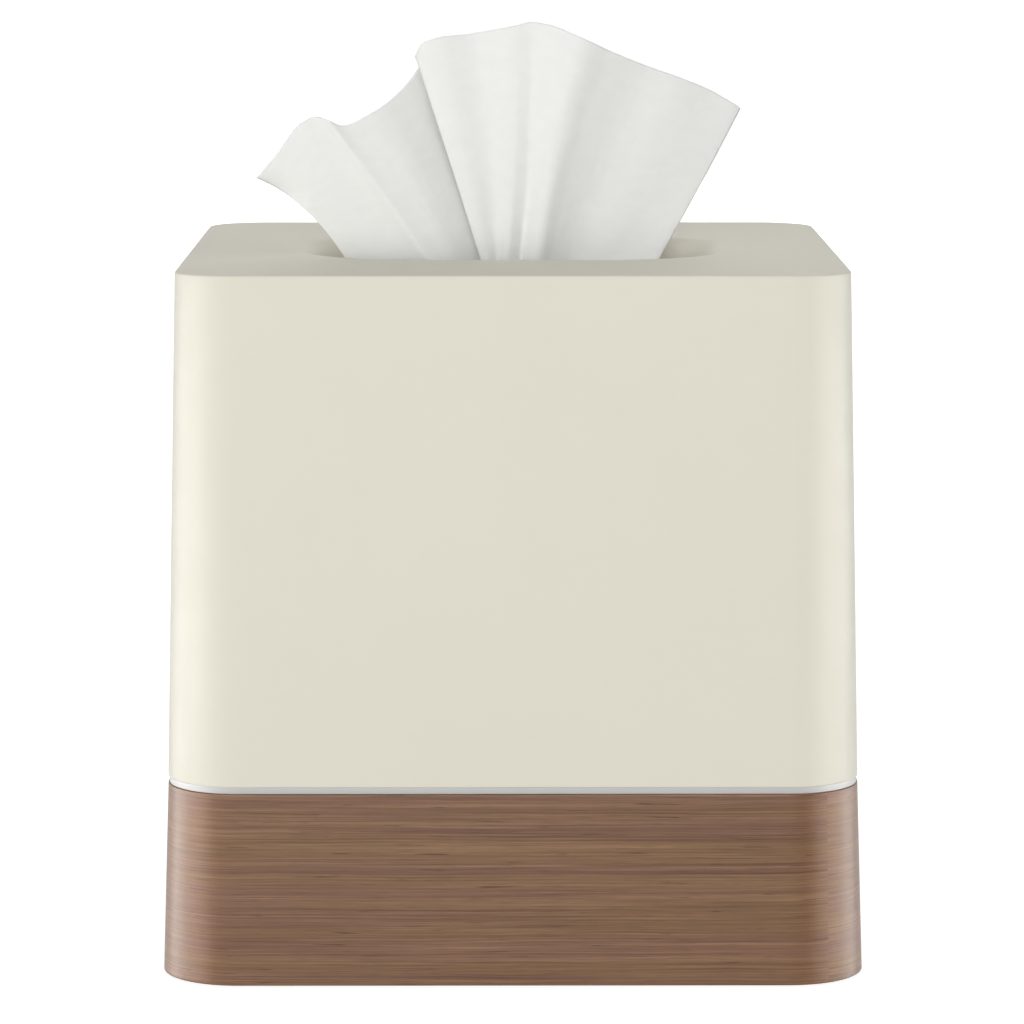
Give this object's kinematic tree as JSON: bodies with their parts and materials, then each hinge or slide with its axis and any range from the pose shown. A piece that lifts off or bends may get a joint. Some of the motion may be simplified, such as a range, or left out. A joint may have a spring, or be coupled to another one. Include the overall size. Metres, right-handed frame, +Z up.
{
  "type": "tissue box cover",
  "caption": "Square tissue box cover with an ivory shell, a rolled oval opening, a thin metal band and a wood-veneered base, standing over a carton with a tissue pulled up ready.",
  "frame": {"origin": "on the floor, under the middle of the cover", "axes": "+Z up, +X to the right and -Y towards the viewer, square to the cover's sides, with the opening's long side along X"},
  "size_m": [0.135, 0.135, 0.1809],
  "materials": {
    "ivory_shell": "satin",
    "silver_band": "satin",
    "base_core": "matte",
    "walnut_veneer": "satin",
    "foot_rubber": "matte",
    "carton_board": "matte",
    "clear_film": "gloss",
    "tissue": "matte"
  },
  "bodies": {
    "carton": {"tissue_carton": "carton_board", "slit_film": "clear_film", "tissue_stack": "tissue"},
    "cover": {"cover_shell": "ivory_shell", "trim_band": "silver_band", "base_ring": "base_core", "wood_veneer": "walnut_veneer", "foot_pad_front_left": "foot_rubber", "foot_pad_front_right": "foot_rubber", "foot_pad_rear_left": "foot_rubber", "foot_pad_rear_right": "foot_rubber"},
    "tissue": {"front_tissue": "tissue"}
  },
  "joints": [
    {"name": "cover_lift", "type": "slide", "parent": "carton", "child": "cover", "axis": [0, 0, 1], "range_m": [0, 0.19], "deforming": ["front_tissue"]},
    {"name": "tissue_pull", "type": "slide", "parent": "carton", "child": "tissue", "axis": [0, 0, 1], "range_m": [0, 0.115]}
  ]
}
